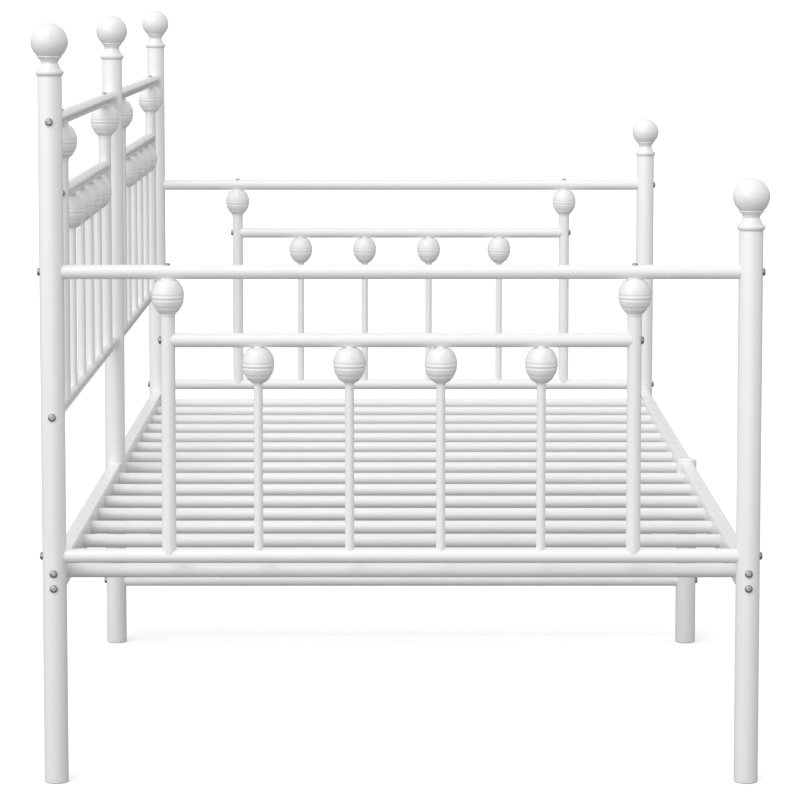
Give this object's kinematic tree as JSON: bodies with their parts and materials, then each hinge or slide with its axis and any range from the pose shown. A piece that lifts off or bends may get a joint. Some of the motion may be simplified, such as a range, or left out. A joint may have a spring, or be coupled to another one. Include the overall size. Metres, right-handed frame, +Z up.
{
  "type": "daybed",
  "caption": "Single daybed frame of white tubular steel: low arm panels with ball finials, a taller back along one side, an open front and a slatted deck for a standard mattress.",
  "frame": {"origin": "on the floor, under the centre of the footprint", "axes": "+X across the bed from the tall back to the open front, +Y along the bed from the left arm to the right arm as seen from the front, +Z up"},
  "size_m": [0.9718, 2.0868, 1.0122],
  "materials": {
    "powder_coated_steel": "white semi-gloss powder coat",
    "enamelled_casting": "aluminium casting under a white gloss coat",
    "gloss_plastic": "white moulded, glossy",
    "foot_plastic": "white moulded, satin",
    "zinc_steel": "bright zinc plated"
  },
  "bodies": {
    "root": {"back_left_finial": "gloss_plastic", "back_left_post": "powder_coated_steel", "back_left_rail": "powder_coated_steel", "back_middle_finial": "gloss_plastic", "back_middle_post": "powder_coated_steel", "back_right_finial": "gloss_plastic", "back_right_post": "powder_coated_steel", "back_right_rail": "powder_coated_steel", "egg_screws": "zinc_steel", "foot_caps": "foot_plastic", "front_left_finial": "gloss_plastic", "front_left_post": "powder_coated_steel", "front_left_rail": "powder_coated_steel", "front_middle_leg": "powder_coated_steel", "front_right_finial": "gloss_plastic", "front_right_post": "powder_coated_steel", "front_right_rail": "powder_coated_steel", "left_arm_bar_eggs": "enamelled_casting", "left_arm_bars": "powder_coated_steel", "left_arm_first_upright": "powder_coated_steel", "left_arm_last_upright": "powder_coated_steel", "left_arm_lower_tube": "powder_coated_steel", "left_arm_second_tube": "powder_coated_steel", "left_arm_top_tube": "powder_coated_steel", "left_arm_upright_eggs": "enamelled_casting", "left_back_bar_eggs": "enamelled_casting", "left_back_bars": "powder_coated_steel", "left_back_first_upright": "powder_coated_steel", "left_back_last_upright": "powder_coated_steel", "left_back_lower_tube": "powder_coated_steel", "left_back_second_tube": "powder_coated_steel", "left_back_top_tube": "powder_coated_steel", "left_back_upright_eggs": "enamelled_casting", "left_slats": "powder_coated_steel", "middle_leg_cap": "gloss_plastic", "middle_studs": "zinc_steel", "rail_inserts": "zinc_steel", "rail_screws": "zinc_steel", "right_arm_bar_eggs": "enamelled_casting", "right_arm_bars": "powder_coated_steel", "right_arm_first_upright": "powder_coated_steel", "right_arm_last_upright": "powder_coated_steel", "right_arm_lower_tube": "powder_coated_steel", "right_arm_second_tube": "powder_coated_steel", "right_arm_top_tube": "powder_coated_steel", "right_arm_upright_eggs": "enamelled_casting", "right_back_bar_eggs": "enamelled_casting", "right_back_bars": "powder_coated_steel", "right_back_first_upright": "powder_coated_steel", "right_back_last_upright": "powder_coated_steel", "right_back_lower_tube": "powder_coated_steel", "right_back_second_tube": "powder_coated_steel", "right_back_top_tube": "powder_coated_steel", "right_back_upright_eggs": "enamelled_casting", "right_slats": "powder_coated_steel", "stretcher": "powder_coated_steel", "tube_inserts": "zinc_steel", "tube_screws": "zinc_steel", "upright_screws": "zinc_steel"}
  },
  "joints": []
}
